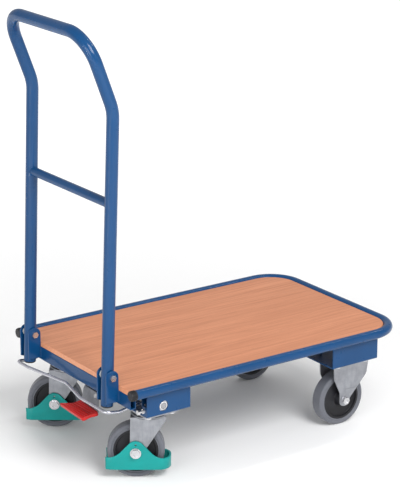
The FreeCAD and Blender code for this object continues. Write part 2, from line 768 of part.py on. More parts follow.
def sleeve(name, x, y):
    outside = rod(name, "sleeve_radius", "2 * (fork_half - gauge)", x,
                  f"{y} - (fork_half - gauge)", "wheel_radius", "y")
    bore = rod(name + "_bore", "axle_radius + press_gap", "80", x, f"{y} - 40", "wheel_radius", "y")
    return cut(name + "_cut", outside, bore)


def build_wheel(side, sign):
    for kind, swivels in (("swivel", True), ("fixed", False)):
        stand_wheel(f"{kind}_tyre_{side}", tyre(f"{kind}_tyre_{side}_ring"), sign, swivels)
        stand_wheel(f"{kind}_hub_{side}", hub(f"{kind}_hub_{side}_body"), sign, swivels)


def build_swivel_plate(side, sign):
    """Mounting plate, its pressed raceway and the hollow king pin, all fixed to the bracket."""
    name = f"swivel_plate_{side}"
    long, short = "plate_long / 2", "plate_short / 2"
    x, y = "swivel_x", f"{sign} * castor_y"
    bolts = [(bx, by, "plate_bolt + bolt_gap") for bx, by in swivel_bolts(sign)]
    plate = flat_plate(name + "_body", "XY", "bracket_z - gauge", "gauge", [
        (f"{x} - {short}", f"{y} - {long}", "9"), (f"{x} + {short}", f"{y} - {long}", "9"),
        (f"{x} + {short}", f"{y} + {long}", "9"), (f"{x} - {short}", f"{y} + {long}", "9")],
        bolts + [(x, y, "king_radius + press_gap")])
    keep(plate, name)

    under = "bracket_z - gauge"
    head = turned(f"swivel_head_{side}_body", [
        ("king_radius + press_gap", "race_low"), ("head_radius - 3", "race_low", "1"),
        ("head_radius", "race_low + 3", "2"), ("head_radius", under), ("king_radius + press_gap", under)])
    keep(move(head, x, y, "0"), f"swivel_head_{side}")

    pin = turned(f"king_pin_{side}_body", [
        ("king_bore", "134"), ("11", "134", "1.5"), ("11", "137.7", "0.5"),
        ("king_radius", "137.7"), ("king_radius", "bracket_z"), ("king_bore", "bracket_z")])
    keep(move(pin, x, y, "0"), f"king_pin_{side}")


def fork_plan(name, inner, outer, sign):
    """Plan of one swivel fork leg: straight beside the axle, then slanting inward."""
    return flat_plate(name, "XY", "0", "160", [
        ("-trail - 14", f"{sign} * ({inner})"), ("-trail + 18", f"{sign} * ({inner})"),
        ("-trail + 67", f"{sign} * ({inner} - 5)"), ("-trail + 67", f"{sign} * ({outer} - 5)"),
        ("-trail + 18", f"{sign} * ({outer})"), ("-trail - 14", f"{sign} * ({outer})")])


def build_swivel_fork(side, sign):
    """Crown with its raceway cup and two pressed legs, trailing behind the swivel axis."""
    name = f"swivel_fork_{side}"
    top = "crown_top"
    profile = new_body(name + "_profile")
    sketch = new_sketch(profile, "XZ")
    outline(sketch, [
        ("-trail - 11", top, "5"), ("-trail - 13", "wheel_radius - 13", "12"),
        ("-trail + 13", "wheel_radius - 13", "12"), ("-trail + 25", "74", "6"),
        ("-trail + 66", "136", "4"), ("-trail + 66", top)])
    pad(profile, sketch, "80", both_ways=True)
    legs = []
    for i, leg_sign in enumerate(("-1", "1")):
        plan = fork_plan(f"{name}_plan_{i}", "fork_half - gauge", "fork_half", leg_sign)
        leg = doc.addObject("Part::Common", f"{name}_leg_{i}")
        leg.Base = profile
        leg.Tool = plan
        legs.append(leg)
    crown = flat_plate(name + "_crown", "XY", f"{top} - gauge", "gauge", [
        ("-trail - 11", "-fork_half"), ("-trail + 18", "-fork_half"),
        ("-trail + 66", "-fork_half + 5"), ("-trail + 66", "fork_half - 5"),
        ("-trail + 18", "fork_half"), ("-trail - 11", "fork_half")])
    cup = turned(name + "_cup", [
        ("0", f"{top} - gauge"), ("head_radius - 2", f"{top} - gauge", "1"),
        ("head_radius + 3", f"{top} + 1", "2"), ("head_radius + 3", "race_low - 0.3"),
        ("0", "race_low - 0.3")])
    bore = rod(name + "_bore", "king_radius + sliding_gap", "30", "0", "0", "125")
    axle = rod(name + "_axle", "axle_radius + press_gap", "100", "-trail", "-50", "wheel_radius", "y")
    blank = fuse(name + "_blank", crown, cup, *legs)
    keep(swivel(cut(name + "_cut", blank, bore, axle), sign), name)

    outer = "fork_half + guard_wall + sliding_gap"
    bolt, nut = axle_bolt(f"swivel_axle_{side}_bolt", "-trail", "0", outer,
                          "swivel_axle_flats", "swivel_axle_flange")
    keep(swivel(group(f"swivel_axle_{side}_set", bolt, nut), sign), f"swivel_axle_{side}")
    spacer = sleeve(f"swivel_sleeve_{side}_tube", "-trail", "0")
    keep(swivel(group(f"swivel_sleeve_{side}_set", spacer), sign), f"swivel_sleeve_{side}")


def guard_plan(name, half_length, half_width, corner):
    return flat_plate(name, "XY", "0", "110", [
        (f"-trail - {half_length}", f"-({half_width})", corner),
        (f"-trail + {half_length}", f"-({half_width})", corner),
        (f"-trail + {half_length}", half_width, corner),
        (f"-trail - {half_length}", half_width, corner)])


def build_guard(side, sign):
    """Moulded toe guard round the wheel, held by the axle bolt on both sides of the fork."""
    name = f"toe_guard_{side}"
    profile = new_body(name + "_profile")
    sketch = new_sketch(profile, "XZ")
    outline(sketch, [
        ("-trail - 82", "guard_low"), ("-trail + 82", "guard_low"), ("-trail + 82", "guard_lobe"),
        ("-trail + 46", "guard_lobe", "40"), ("-trail", "guard_peak", "20"),
        ("-trail - 46", "guard_lobe + 1", "40"), ("-trail - 82", "guard_lobe + 4")])
    pad(profile, sketch, "90", both_ways=True)
    outside = guard_plan(name + "_outside", "guard_half_length", "fork_half + guard_wall", "27")
    inside = guard_plan(name + "_inside", "guard_half_length - guard_wall",
                        "fork_half + sliding_gap", "24")
    ring = cut(name + "_ring", outside, inside)
    blank = doc.addObject("Part::Common", name + "_blank")
    blank.Base = ring
    blank.Tool = profile
    axle = rod(name + "_axle", "axle_radius + press_gap", "100", "-trail", "-50", "wheel_radius", "y")
    eye = rod(name + "_eye", "2.2", "100", "-trail", "-50", "wheel_radius + 18.5", "y")
    keep(swivel(cut(name + "_cut", blank, axle, eye), sign), name)


def build_fixed_castor(side, sign):
    """Rigid fork pressed in one piece with its mounting plate."""
    name = f"fixed_fork_{side}"
    middle = f"{sign} * castor_y"
    under = "bracket_z - gauge"
    long, short = "plate_long / 2", "plate_short / 2"
    bolts = [(bx, by, "plate_bolt + bolt_gap") for bx, by in fixed_bolts(sign)]
    plate = flat_plate(name + "_plate", "XY", under, "gauge", [
        (f"fixed_plate_x - {long}", f"{middle} - {short}", "9"),
        (f"fixed_plate_x + {long}", f"{middle} - {short}", "9"),
        (f"fixed_plate_x + {long}", f"{middle} + {short}", "9"),
        (f"fixed_plate_x - {long}", f"{middle} + {short}", "9")], bolts)
    legs = []
    axle = "fixed_axle_x"
    for i, outer in enumerate((f"-({middle}) + fork_half - gauge", f"-({middle}) - fork_half")):
        legs.append(flat_plate(f"{name}_leg_{i}", "XZ", outer, "gauge", [
            (f"{axle} - 33", f"{under} + 1"), (f"{axle} - 31", "118", "30"),
            (f"{axle} - 14", "82", "20"), (f"{axle} - 14", "wheel_radius - 14", "13"),
            (f"{axle} + 14", "wheel_radius - 14", "13"), (f"{axle} + 16", "66", "10"),
            (f"{axle} + 63", "116", "14"), (f"{axle} + 70", f"{under} + 1")]))
        ridge_side = f"{middle} - fork_half - 1" if i == 0 else f"{middle} + fork_half"
        legs.append(block(f"{name}_ridge_{i}", f"{axle} - 1", ridge_side, "84", "34", "1", "5"))
    pin = rod(name + "_axle", "axle_radius + press_gap", "100", axle, f"{middle} - 50",
              "wheel_radius", "y")
    keep(cut(name + "_cut", fuse(name + "_blank", plate, *legs), pin), name)


def build_fixed_axles():
    bolts, sleeves = [], []
    for sign in ("-1", "1"):
        middle = f"{sign} * castor_y"
        bolts += axle_bolt(f"fixed_axle_{len(bolts)}", "fixed_axle_x", middle, "fork_half",
                           "fixed_axle_flats", "fixed_axle_flange")
        sleeves.append(sleeve(f"fixed_sleeve_{len(sleeves)}", "fixed_axle_x", middle))
    keep(group("fixed_axle_set", *bolts), "fixed_axles")
    keep(group("fixed_sleeve_set", *sleeves), "fixed_sleeves")


# ---------------------------------------------------------------- central brake
def shaft_bore(name):
    return hexagon(name, "shaft_flats + 0.04", "500", "swivel_x", "-250", "shaft_z", "y")


def build_shaft():
    """Hexagon shaft across the cart, its ends in bushes in the two side brackets."""
    keep(hexagon("brake_shaft_bar", "shaft_flats", "2 * bracket_face - 3", "swivel_x",
                 "-bracket_face + 1.5", "shaft_z", "y"), "brake_shaft")
    bushes = []
    for angle, y in ((90, "bracket_face - 1.5"), (-90, "-bracket_face + 1.5")):
        bush = turned(f"shaft_bush_{len(bushes)}", [
            ("7", "0"), ("10", "0", "0.8"), ("10", "1.5"), ("15", "1.5"), ("15", "4.5", "1"),
            ("7", "4.5")])
        bushes.append(move(bush, "swivel_x", y, "shaft_z", X_AXIS, angle))
    keep(group("shaft_bush_pair", *bushes), "shaft_bushes")


def build_cams():
    """Eccentric cams keyed on the shaft above the king pins."""
    cams = []
    for sign in ("-1", "1"):
        name = f"cam_{len(cams)}"
        start = f"{sign} * castor_y - 6"
        disc = rod(name + "_disc", "cam_radius", "12", "swivel_x - cam_offset", start, "shaft_z", "y")
        boss = rod(name + "_boss", "10.5", "12", "swivel_x", start, "shaft_z", "y")
        fill = block(name + "_fill", "swivel_x - cam_offset", start, "shaft_z - 10.4",
                     "cam_offset", "12", "20.8")
        cams.append(cut(name + "_cut", fuse(name + "_blank", disc, boss, fill),
                        shaft_bore(name + "_bore")))
    keep(group("cam_pair", *cams), "brake_cams")


def build_plunger(side, sign):
    """Push rod down the king pin, capped under its cam, with a pad above the tyre."""
    rod_shape = turned(f"plunger_{side}_body", [
        ("0", "plunger_foot"), ("8", "plunger_foot", "1"), ("8", "plunger_foot + 4"),
        ("plunger_radius", "plunger_foot + 4"), ("plunger_radius", "plunger_top - plunger_cap"),
        ("14", "plunger_top - plunger_cap"), ("14", "plunger_top", "1"), ("0", "plunger_top")])
    keep(move(rod_shape, "swivel_x", f"{sign} * castor_y", "0"), f"brake_plunger_{side}")


PEDAL_SCREWS = ("pedal_screw_near", "pedal_screw_far")


def tilt_to_pedal(obj):
    """Put a piece drawn from the pedal's upper rear edge at the pedal's slope."""
    return move(group(obj.Name + "_held", obj), "pedal_rear_x", "0", "pedal_rear_z", Y_AXIS,
                -number("pedal_slope"))


def across_lever(name, obj, back):
    """Stand a piece on the sloping face of the lever, a distance behind its front."""
    slope = number("lever_bolt_slope")
    along_x, along_z = math.sin(math.radians(slope)), math.cos(math.radians(slope))
    return move(group(name, obj), f"lever_bolt_x - {back} * {along_x}", "lever_bolt_y",
                f"lever_bolt_z - {back} * {along_z}", Y_AXIS, slope)


def build_lever():
    """Folded lever from the shaft, under the crossbar and down to the pedal."""
    side_view = new_body("lever_side_view")
    sketch = new_sketch(side_view, "XZ")
    outline(sketch, [
        ("swivel_x - 4", "182"), ("-332.1", "182", "5"), ("-350", "150.24", "2"),
        ("-386", "138.26"), ("-385.05", "135.42"), ("-347.96", "147.75", "5"),
        ("-330.35", "179", "2"), ("swivel_x - 4", "179")])
    pad(side_view, sketch, "300", both_ways=True)
    plan = flat_plate("lever_plan", "XY", "100", "120", [
        ("swivel_x", "-70"), ("swivel_x", "-32"), ("-336", "-32"), ("-350", "-46"),
        ("-380", "-40", "6"), ("-382", "-108", "6"), ("-350", "-116"), ("-336", "-98"),
        ("-318", "-72")])
    strip = doc.addObject("Part::Common", "lever_strip")
    strip.Base = side_view
    strip.Tool = plan
    boss = rod("lever_boss", "10", "38", "swivel_x", "-70", "shaft_z", "y")
    bolt_bore = across_lever("lever_bolt_bore", rod("lever_bolt_bore_rod", "3.05", "40"), "20")
    screw_bores = [tilt_to_pedal(rod(f"lever_screw_bore_{i}", "2.05", "12", "-20", y, "-14"))
                   for i, y in enumerate(PEDAL_SCREWS)]
    keep(cut("lever_cut", fuse("lever_blank", strip, boss), shaft_bore("lever_bore"),
             bolt_bore, *screw_bores), "brake_lever")

    shank = rod("lever_bolt_shank", "3", "9", z="-6")
    head = hexagon("lever_bolt_head", "10", "4")
    nut = hexagon("lever_bolt_nut", "10", "3", z="-6.1")
    keep(across_lever("lever_bolt_stood", fuse("lever_bolt_piece", shank, head, nut), "0"),
         "lever_bolt")


def build_pedal():
    """Moulded pedal, waisted between its front and rear edges, with grip ridges."""
    slab = flat_plate("pedal_slab", "XY", "-pedal_thickness", "pedal_thickness", [
        ("-38", "-13", "2"), ("-42", "-117", "6"), ("-24", "-119", "12"), ("-6", "-132", "5"),
        ("-2", "-50", "5"), ("-19", "-43", "16")])
    ridges = [rod(f"pedal_ridge_{i}", "1.2", f"68 + {i} * 3", f"-8 - {i} * 5.4",
                  f"-124 + {i} * 2", "0", "y") for i in range(6)]
    bores = [rod(f"pedal_bore_{i}", "2.02", "6", "-20", y, "-9") for i, y in enumerate(PEDAL_SCREWS)]
    body = cut("pedal_cut", fuse("pedal_blank", slab, *ridges), *bores)
    keep(tilt_to_pedal(body), "brake_pedal")

    screws = []
    for y in PEDAL_SCREWS:
        name = f"pedal_screw_{len(screws)}"
        shank = rod(name + "_shank", "2", "10.4", "-20", y, "-13.4")
        head = rod(name + "_head", "4", "2.3", "-20", y, "-13.4")
        screws.append(fuse(name, shank, head))
    keep(tilt_to_pedal(group("pedal_screw_set", *screws)), "pedal_screws")


# ---------------------------------------------------------------- build, check and write
def write_parts():
    doc.recompute()
    for obj in doc.Objects:
        if "Invalid" in obj.State or "Error" in obj.State:
            raise RuntimeError(f"{obj.Name} did not recompute: {obj.State}")
    os.makedirs("parts", exist_ok=True)
    for obj in parts:
        shape = obj.Shape
        if shape.isNull() or not shape.isValid() or shape.Volume <= 0:
            raise RuntimeError(f"{obj.Label} has no sound shape")
        shape.exportStep(f"parts/{obj.Label}.step")
        box = shape.BoundBox
        print(f"{obj.Label}: {len(shape.Solids)} solids, x {box.XMin:.1f} {box.XMax:.1f}, "
              f"y {box.YMin:.1f} {box.YMax:.1f}, z {box.ZMin:.1f} {box.ZMax:.1f}")


build_frame_tube()
build_end_plugs()
build_crossbar()
build_straps()
build_deck()
both_sides(build_brackets)
build_castor_bolts()
build_stop_screws()
both_sides(build_hinge)
build_pivot_bolts()
build_handle()
build_bail()
both_sides(build_swivel_plate)
both_sides(build_swivel_fork)
both_sides(build_guard)
both_sides(build_fixed_castor)
build_fixed_axles()
both_sides(build_wheel)
build_shaft()
build_cams()
both_sides(build_plunger)
build_lever()
build_pedal()
write_parts()
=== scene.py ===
"""Looks of the folding platform cart: materials, fine details, studio and camera.

Metres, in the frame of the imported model: X along the cart with the handle at -X, Y across, Z up.
"""

import json
import math

import bmesh
import bpy
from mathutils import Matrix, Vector


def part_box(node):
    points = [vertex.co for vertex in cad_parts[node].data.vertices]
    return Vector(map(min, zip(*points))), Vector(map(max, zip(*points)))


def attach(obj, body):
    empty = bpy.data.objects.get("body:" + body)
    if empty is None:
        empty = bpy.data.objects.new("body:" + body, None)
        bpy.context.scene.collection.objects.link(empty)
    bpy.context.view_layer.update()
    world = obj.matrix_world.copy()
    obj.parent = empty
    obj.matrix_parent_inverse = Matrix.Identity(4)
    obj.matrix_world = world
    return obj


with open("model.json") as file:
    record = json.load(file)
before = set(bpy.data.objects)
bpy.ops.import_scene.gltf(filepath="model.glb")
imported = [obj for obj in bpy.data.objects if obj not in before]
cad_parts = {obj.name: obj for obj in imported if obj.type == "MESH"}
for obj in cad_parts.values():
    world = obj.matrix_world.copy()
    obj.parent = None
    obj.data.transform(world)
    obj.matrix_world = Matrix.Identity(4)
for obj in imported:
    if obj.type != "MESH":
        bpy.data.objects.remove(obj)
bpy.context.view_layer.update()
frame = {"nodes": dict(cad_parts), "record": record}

SIDES = ("right", "left")

# Radii and spacings that the frame's boxes don't give, as in the CAD model
POST_RADIUS = 0.0135
RUNG_RADIUS = 0.010
FRAME_TUBE_RADIUS = 0.011
BOLT_RADIUS = 0.004
SWIVEL_HOLES = (0.030, 0.040)
FIXED_HOLES = (0.040, 0.034)
FIXED_PLATE_HALF = 0.0525

# The Mix node's sockets: A and B of each kind, then its outputs
VECTOR_A, VECTOR_B, COLOUR_A, COLOUR_B = 4, 5, 6, 7
VECTOR_OUT, COLOUR_OUT = 1, 2
WHITE = (1.0, 1.0, 1.0, 1.0)


# ---------------------------------------------------------------- material helpers
class Shader:
    """A material under construction: one Principled shader fed by named nodes."""

    def __init__(self, name, **inputs):
        self.material = bpy.data.materials.new(name)
        self.material.use_nodes = True
        self.tree = self.material.node_tree
        self.surface = self.tree.nodes["Principled BSDF"]
        for key, value in inputs.items():
            self.surface.inputs[key.replace("_", " ")].default_value = value
        self.place = self.add("ShaderNodeTexCoord").outputs["Object"]

    def add(self, kind, **settings):
        node = self.tree.nodes.new(kind)
        for key, value in settings.items():
            setattr(node, key, value)
        return node

    def link(self, source, target):
        self.tree.links.new(source, target)

    def stretched(self, x, y, z, vector=None):
        """Object coordinates, or another vector, multiplied along each axis."""
        node = self.add("ShaderNodeVectorMath", operation="MULTIPLY")
        node.inputs[1].default_value = (x, y, z)
        self.link(vector or self.place, node.inputs[0])
        return node.outputs[0]

    def noise(self, scale, detail=4.0, roughness=0.5, vector=None):
        node = self.add("ShaderNodeTexNoise")
        node.inputs["Scale"].default_value = scale
        node.inputs["Detail"].default_value = detail
        node.inputs["Roughness"].default_value = roughness
        self.link(vector or self.place, node.inputs["Vector"])
        return node.outputs["Fac"]

    def span(self, value, low, high, to_low=0.0, to_high=1.0):
        """A value between two limits, spread over a new range."""
        node = self.add("ShaderNodeMapRange")
        limits = {"From Min": low, "From Max": high, "To Min": to_low, "To Max": to_high}
        for key, number in limits.items():
            node.inputs[key].default_value = number
        self.link(value, node.inputs["Value"])
        return node.outputs["Result"]

    def mix(self, factor, first, second):
        """Two colours, each a tuple or a socket, mixed by a factor socket."""
        node = self.add("ShaderNodeMix", data_type="RGBA")
        self.link(factor, node.inputs["Factor"])
        for index, colour in ((COLOUR_A, first), (COLOUR_B, second)):
            if isinstance(colour, tuple):
                node.inputs[index].default_value = (*colour, 1.0)
            else:
                self.link(colour, node.inputs[index])
        return node.outputs[COLOUR_OUT]

    def colour(self, socket):
        self.link(socket, self.surface.inputs["Base Color"])

    def roughness(self, value, low, high):
        """Roughness that follows a pattern between two limits."""
        self.link(self.span(value, 0.3, 0.7, low, high), self.surface.inputs["Roughness"])

    def bump(self, height, depth):
        """Raise the surface by a height socket; each call stacks on the one before."""
        node = self.add("ShaderNodeBump")
        node.inputs["Distance"].default_value = depth
        self.link(height, node.inputs["Height"])
        normal = self.surface.inputs["Normal"]
        if normal.is_linked:
            self.link(normal.links[0].from_socket, node.inputs["Normal"])
        self.link(node.outputs["Normal"], normal)


# ---------------------------------------------------------------- materials
def powder_coat(name, deep, light):
    """Blue powder coat: fine orange peel, faint cloudiness and a clear gloss."""
    paint = Shader(name, Specular_IOR_Level=0.12, Coat_Weight=0.4, Coat_Roughness=0.05)
    cloud = paint.noise(9.0, 3.0)
    paint.colour(paint.mix(paint.span(cloud, 0.3, 0.7), deep, light))
    paint.roughness(paint.noise(60.0, 5.0), 0.26, 0.40)
    paint.bump(paint.noise(700.0, 1.0), 0.00001)
    paint.bump(paint.noise(180.0, 1.0), 0.00003)
    return paint.material


def beech_decor(name):
    """Beech decor board: long soft bands, fine grain and short dark flecks along X."""
    wood = Shader(name, Coat_Weight=0.12, Coat_Roughness=0.3)
    wander = wood.add("ShaderNodeTexNoise")
    wander.inputs["Scale"].default_value = 2.2
    wood.link(wood.stretched(0.5, 3.0, 1.0), wander.inputs["Vector"])
    bent = wood.add("ShaderNodeMix", data_type="VECTOR")
    bent.inputs["Factor"].default_value = 0.045
    wood.link(wood.place, bent.inputs[VECTOR_A])
    wood.link(wander.outputs["Color"], bent.inputs[VECTOR_B])

    def along(x, y):
        return wood.stretched(x, y, y, bent.outputs[VECTOR_OUT])

    bands = wood.noise(1.0, 2.0, vector=along(1.3, 26.0))
    grain = wood.noise(1.0, 6.0, 0.62, vector=along(5.0, 180.0))
    flecks = wood.noise(1.0, 1.0, vector=along(70.0, 900.0))
    base = wood.mix(wood.span(bands, 0.32, 0.68), (0.575, 0.218, 0.100), (0.665, 0.263, 0.128))
    base = wood.mix(wood.span(grain, 0.42, 0.70), base, (0.495, 0.182, 0.084))
    base = wood.mix(wood.span(flecks, 0.64, 0.72, 0.0, 0.40), base, (0.330, 0.125, 0.062))
    upright = wood.add("ShaderNodeSeparateXYZ")
    wood.link(wood.add("ShaderNodeNewGeometry").outputs["Normal"], upright.inputs[0])
    top = wood.span(upright.outputs["Z"], 0.3, 0.8)
    underside = wood.span(upright.outputs["Z"], -0.8, -0.3)
    # Side faces: a brighter beech than the top, painted light that makes up for the light the upright
    # faces don't get
    painted_light_edge = wood.mix(wood.span(grain, 0.4, 0.7), (0.700, 0.300, 0.155), (0.610, 0.250, 0.125))
    backing = wood.mix(wood.span(grain, 0.4, 0.7), (0.120, 0.105, 0.092), (0.085, 0.074, 0.065))
    wood.colour(wood.mix(top, wood.mix(underside, backing, painted_light_edge), base))
    wood.roughness(grain, 0.36, 0.50)
    wood.bump(grain, 0.00005)
    wood.bump(flecks, 0.00004)
    return wood.material


def plated_steel(name, tone, low, high, brushed=(1.0, 1.0, 1.0)):
    """Zinc plated steel: mottled tone, faint drawing lines and fine pits."""
    metal = Shader(name, Metallic=0.92)
    patches = metal.noise(42.0, 5.0, 0.6)
    lines = metal.noise(160.0, 3.0, vector=metal.stretched(*brushed))
    darker, darkest = (tuple(share * c for c in tone) for share in (0.78, 0.6))
    colour = metal.mix(metal.span(patches, 0.35, 0.68), tone, darker)
    metal.colour(metal.mix(metal.span(lines, 0.45, 0.75, 0.0, 0.4), colour, darkest))
    metal.roughness(patches, low, high)
    metal.bump(lines, 0.00003)
    metal.bump(metal.noise(1500.0, 2.0), 0.00001)
    return metal.material


def moulded_plastic(name, deep, light, low=0.32, high=0.46, grain=0.00003, coat=0.0):
    """Moulded plastic: flow marks in the colour and a fine spark-eroded grain."""
    plastic = Shader(name, Coat_Weight=coat, Coat_Roughness=0.2, Specular_IOR_Level=0.3)
    flow = plastic.noise(14.0, 4.0, vector=plastic.stretched(1.0, 1.0, 2.5))
    plastic.colour(plastic.mix(plastic.span(flow, 0.3, 0.7), deep, light))
    plastic.roughness(plastic.noise(90.0, 4.0), low, high)
    plastic.bump(plastic.noise(1300.0, 2.0), grain)
    return plastic.material


def tyre_rubber(name):
    """Grey solid rubber: matt, with a soft bloom, scuffs and fine moulding pores."""
    rubber = Shader(name, Specular_IOR_Level=0.4, Sheen_Weight=0.15, Sheen_Roughness=0.5)
    bloom = rubber.noise(22.0, 5.0, 0.6)
    scuffs = rubber.noise(75.0, 6.0, 0.7)
    colour = rubber.mix(rubber.span(bloom, 0.3, 0.7), (0.094, 0.100, 0.120), (0.130, 0.136, 0.158))
    worn = rubber.span(scuffs, 0.58, 0.72, 0.0, 0.5)
    rubber.colour(rubber.mix(worn, colour, (0.068, 0.069, 0.078)))
    rubber.roughness(bloom, 0.48, 0.62)
    rubber.bump(scuffs, 0.00008)
    rubber.bump(rubber.noise(1100.0, 2.0), 0.00003)
    return rubber.material


def floor_finish(name):
    """Matt studio sweep with a faint mottle, glowing to plain white away from the cart."""
    finish = Shader(name, Roughness=0.8, Specular_IOR_Level=0.1)
    finish.colour(finish.mix(finish.noise(3.0, 3.0), (0.95, 0.95, 0.95), (0.97, 0.97, 0.97)))
    away = finish.add("ShaderNodeVectorMath", operation="LENGTH")
    finish.link(finish.place, away.inputs[0])
    finish.surface.inputs["Emission Color"].default_value = WHITE
    glow = finish.span(away.outputs["Value"], 0.8, 3.0, 0.0, 0.55)
    finish.link(glow, finish.surface.inputs["Emission Strength"])
    return finish.material


# The record's material slots, each with its finish
paints = {
    "blue_paint": powder_coat("blue_powder_coat", (0.002, 0.045, 0.140), (0.003, 0.053, 0.163)),
    "deck_board": beech_decor("beech_decor"),
    "black_plastic": moulded_plastic("black_plastic", (0.010, 0.010, 0.012), (0.018, 0.018, 0.020)),
    "nylon": moulded_plastic("natural_nylon", (0.62, 0.61, 0.56), (0.70, 0.69, 0.65), 0.4, 0.55),
    "zinc_bolt": plated_steel("bright_zinc", (0.70, 0.70, 0.72), 0.16, 0.30),
    "zinc_sheet": plated_steel("zinc_sheet", (0.36, 0.37, 0.40), 0.32, 0.46, (1.0, 1.0, 0.2)),
    "bright_wire": plated_steel("drawn_wire", (0.62, 0.62, 0.68), 0.18, 0.30, (0.3, 0.3, 1.0)),
    "shaft_steel": plated_steel("shaft_steel", (0.40, 0.40, 0.42), 0.30, 0.45, (1.0, 0.05, 1.0)),
    "red_plastic": moulded_plastic("red_plastic", (0.430, 0.004, 0.003), (0.510, 0.008, 0.006),
                                   0.28, 0.42, 0.00006, 0.15),
    "guard_plastic": moulded_plastic("turquoise_plastic", (0.000, 0.240, 0.225), (0.000, 0.280, 0.260),
                                     0.30, 0.44, 0.00003, 0.1),
    "tyre_rubber": tyre_rubber("grey_rubber"),
    "hub_plastic": moulded_plastic("hub_plastic", (0.010, 0.010, 0.012), (0.017, 0.017, 0.021), 0.4, 0.55),
}


def finish_node(node, slot):
    """Give a CAD node its finish in every material slot."""
    obj = frame["nodes"][node]
    for holder in obj.material_slots:
        holder.material = paints[slot]
    if not obj.material_slots:
        obj.data.materials.append(paints[slot])


for entry in frame["record"]["subparts"]:
    finish_node(entry["node"], entry["material_slot"])


# ---------------------------------------------------------------- softened edges
def soften(node, width, steps=2):
    """Round a CAD node's sharp edges a little, without touching its mesh."""
    obj = frame["nodes"][node]
    weld = obj.modifiers.new("join_faces", "WELD")
    weld.merge_threshold = 0.00001
    flat = obj.modifiers.new("flatten", "DECIMATE")
    flat.decimate_type = "DISSOLVE"
    flat.angle_limit = math.radians(0.4)
    bevel = obj.modifiers.new("rounded_edges", "BEVEL")
    bevel.width = width
    bevel.segments = steps
    bevel.limit_method = "ANGLE"
    bevel.angle_limit = math.radians(40)
    bevel.use_clamp_overlap = False
    bevel.harden_normals = True


EDGE_WIDTHS = {"deck_board": 0.0008, "brake_pedal": 0.0012, "brake_lever": 0.0005}
for side in SIDES:
    EDGE_WIDTHS.update({
        f"toe_guard_{side}": 0.0009, f"swivel_bracket_{side}": 0.0006, f"fixed_bracket_{side}": 0.0006,
        f"hinge_bracket_{side}": 0.0008, f"swivel_fork_{side}": 0.0006, f"fixed_fork_{side}": 0.0006})
for node, width in EDGE_WIDTHS.items():
    soften(node, width)


# ---------------------------------------------------------------- mesh helpers
def finish_piece(name, builder, body, slot):
    """Turn a bmesh into a smooth piece of the cart that rides on a body."""
    mesh = bpy.data.meshes.new(name)
    builder.to_mesh(mesh)
    builder.free()
    for face in mesh.polygons:
        face.use_smooth = True
    obj = bpy.data.objects.new(name, mesh)
    bpy.context.scene.collection.objects.link(obj)
    obj.data.materials.append(paints[slot])
    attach(obj, body)
    return obj


def tube_rings(builder, centres, radii, closed=False, sides=12):
    """A skin of rings round a line of centres, each with its own radius."""
    rings = []
    count = len(centres)
    for i, centre in enumerate(centres):
        before = centres[(i - 1) % count] if closed or i else centre
        after = centres[(i + 1) % count] if closed or i < count - 1 else centre
        ahead = (after - before).normalized()
        if rings:
            across = (across - ahead * across.dot(ahead)).normalized()
        else:
            across = ahead.orthogonal().normalized()
        lift = ahead.cross(across)
        ring = []
        for k in range(sides):
            angle = 2 * math.pi * k / sides
            out = across * math.cos(angle) + lift * math.sin(angle)
            ring.append(builder.verts.new(centre + radii[i] * out))
        rings.append(ring)
    pairs = list(zip(rings, rings[1:]))
    if closed:
        pairs.append((rings[-1], rings[0]))
    for low, high in pairs:
        for k in range(sides):
            builder.faces.new((low[k], low[(k + 1) % sides], high[(k + 1) % sides], high[k]))
    if not closed:
        builder.faces.new(rings[0][::-1])
        builder.faces.new(rings[-1])


def weld_bead(builder, points, radius=0.0016, closed=False):
    """A rippled weld along a line of points, thin at both ends if it is open."""
    step = 0.0006
    dense = []
    last = len(points) if closed else len(points) - 1
    for i in range(last):
        start, stop = points[i], points[(i + 1) % len(points)]
        steps = max(2, round((stop - start).length / step))
        dense += [start.lerp(stop, k / steps) for k in range(steps)]
    if not closed:
        dense.append(points[-1])
    radii = [radius * (1.0 + 0.10 * math.sin(i * 1.5)) for i in range(len(dense))]
    if not closed:
        radii[0] = radii[-1] = 0.35 * radius
    tube_rings(builder, dense, radii, closed, 8)


def thread(builder, start, axis, length, radius=BOLT_RADIUS, pitch=0.00125):
    """Screw thread crests wound round a shank, as one helical ridge."""
    flank = axis * pitch * 0.42
    across = axis.orthogonal().normalized()
    lift = axis.cross(across)
    turns = length / pitch
    steps = int(turns * 20)
    rows = []
    for i in range(steps + 1):
        angle = 2 * math.pi * turns * i / steps
        out = across * math.cos(angle) + lift * math.sin(angle)
        foot = start + axis * (length * i / steps)
        crest = radius * 1.05 if 0 < i < steps else radius * 0.98
        root = foot + out * radius * 0.97
        ridge = (root - flank, foot + out * crest, root + flank)
        rows.append([builder.verts.new(point) for point in ridge])
    for low, high in zip(rows, rows[1:]):
        for k in range(2):
            builder.faces.new((low[k], high[k], high[k + 1], low[k + 1]))


def corners_of(node):
    """The low and the high corner of a CAD node's box."""
    low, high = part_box(node)
    return Vector(low), Vector(high)


def centre_of(node):
    low, high = corners_of(node)
    return (low + high) / 2


# ---------------------------------------------------------------- fine details
def build_handle_welds():
    """Saddle welds where the rung meets the posts."""
    builder = bmesh.new()
    rung = centre_of("handle_rung")
    post_y = corners_of("handle_tube")[1].y - POST_RADIUS
    points = 40
    clear = 1.05
    for sign in (-1, 1):
        ring = []
        for k in range(points):
            angle = 2 * math.pi * k / points
            x, z = RUNG_RADIUS * math.cos(angle), RUNG_RADIUS * math.sin(angle)
            reach = math.sqrt(POST_RADIUS ** 2 - x ** 2)
            ring.append(Vector((rung.x + clear * x, sign * (post_y - reach), rung.z + clear * z)))
        weld_bead(builder, ring, 0.0012, closed=True)
    finish_piece("handle_welds", builder, "handle", "blue_paint")


